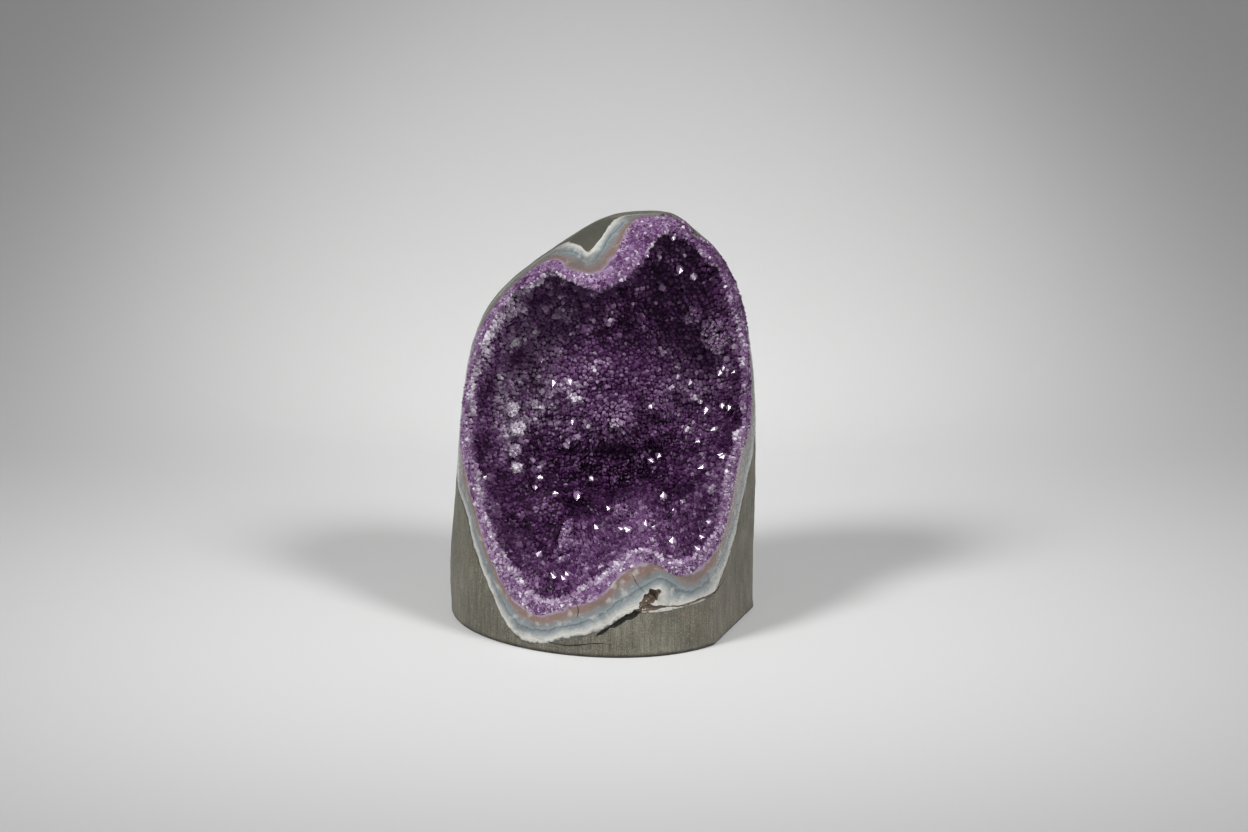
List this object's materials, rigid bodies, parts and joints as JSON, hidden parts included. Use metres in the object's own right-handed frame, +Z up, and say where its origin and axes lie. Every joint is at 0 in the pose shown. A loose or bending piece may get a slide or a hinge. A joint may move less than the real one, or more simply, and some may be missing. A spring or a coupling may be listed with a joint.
{
  "type": "amethyst geode",
  "caption": "Freestanding amethyst geode: ground basalt shell with a sawn flat base, a banded agate rind and an open hollow lined with purple quartz crystals.",
  "frame": {"origin": "centre of the flat sawn base, on the surface that the geode stands on", "axes": "+Z up, the open hollow faces -Y, +X to the right as seen from the front"},
  "size_m": [0.1408, 0.1163, 0.186],
  "materials": {
    "basalt": "ground grey-green volcanic rock, dull",
    "agate": "polished blue-grey, white and brown banded agate",
    "amethyst": "glassy dark purple quartz points",
    "pale_quartz": "glassy pale lilac quartz points"
  },
  "bodies": {
    "root": {"basalt_shell": "basalt", "agate_rind": "agate", "amethyst_crust": "amethyst", "pale_knob_1": "pale_quartz", "pale_knob_2": "pale_quartz", "pale_knob_3": "pale_quartz", "pale_knob_4": "pale_quartz", "pale_knob_5": "pale_quartz", "teardrop_knob": "pale_quartz", "lilac_patch_upper": "pale_quartz", "lilac_knob_lower": "pale_quartz", "pale_ridge_left": "pale_quartz", "rim_knob_right": "pale_quartz", "rim_knob_lower_right": "pale_quartz", "large_crystal_01": "amethyst", "large_crystal_02": "amethyst", "large_crystal_03": "amethyst", "large_crystal_04": "amethyst", "large_crystal_05": "amethyst", "large_crystal_06": "amethyst", "large_crystal_07": "amethyst", "large_crystal_08": "amethyst", "large_crystal_09": "amethyst", "large_crystal_10": "amethyst", "large_crystal_11": "amethyst", "large_crystal_12": "amethyst"}
  },
  "joints": []
}
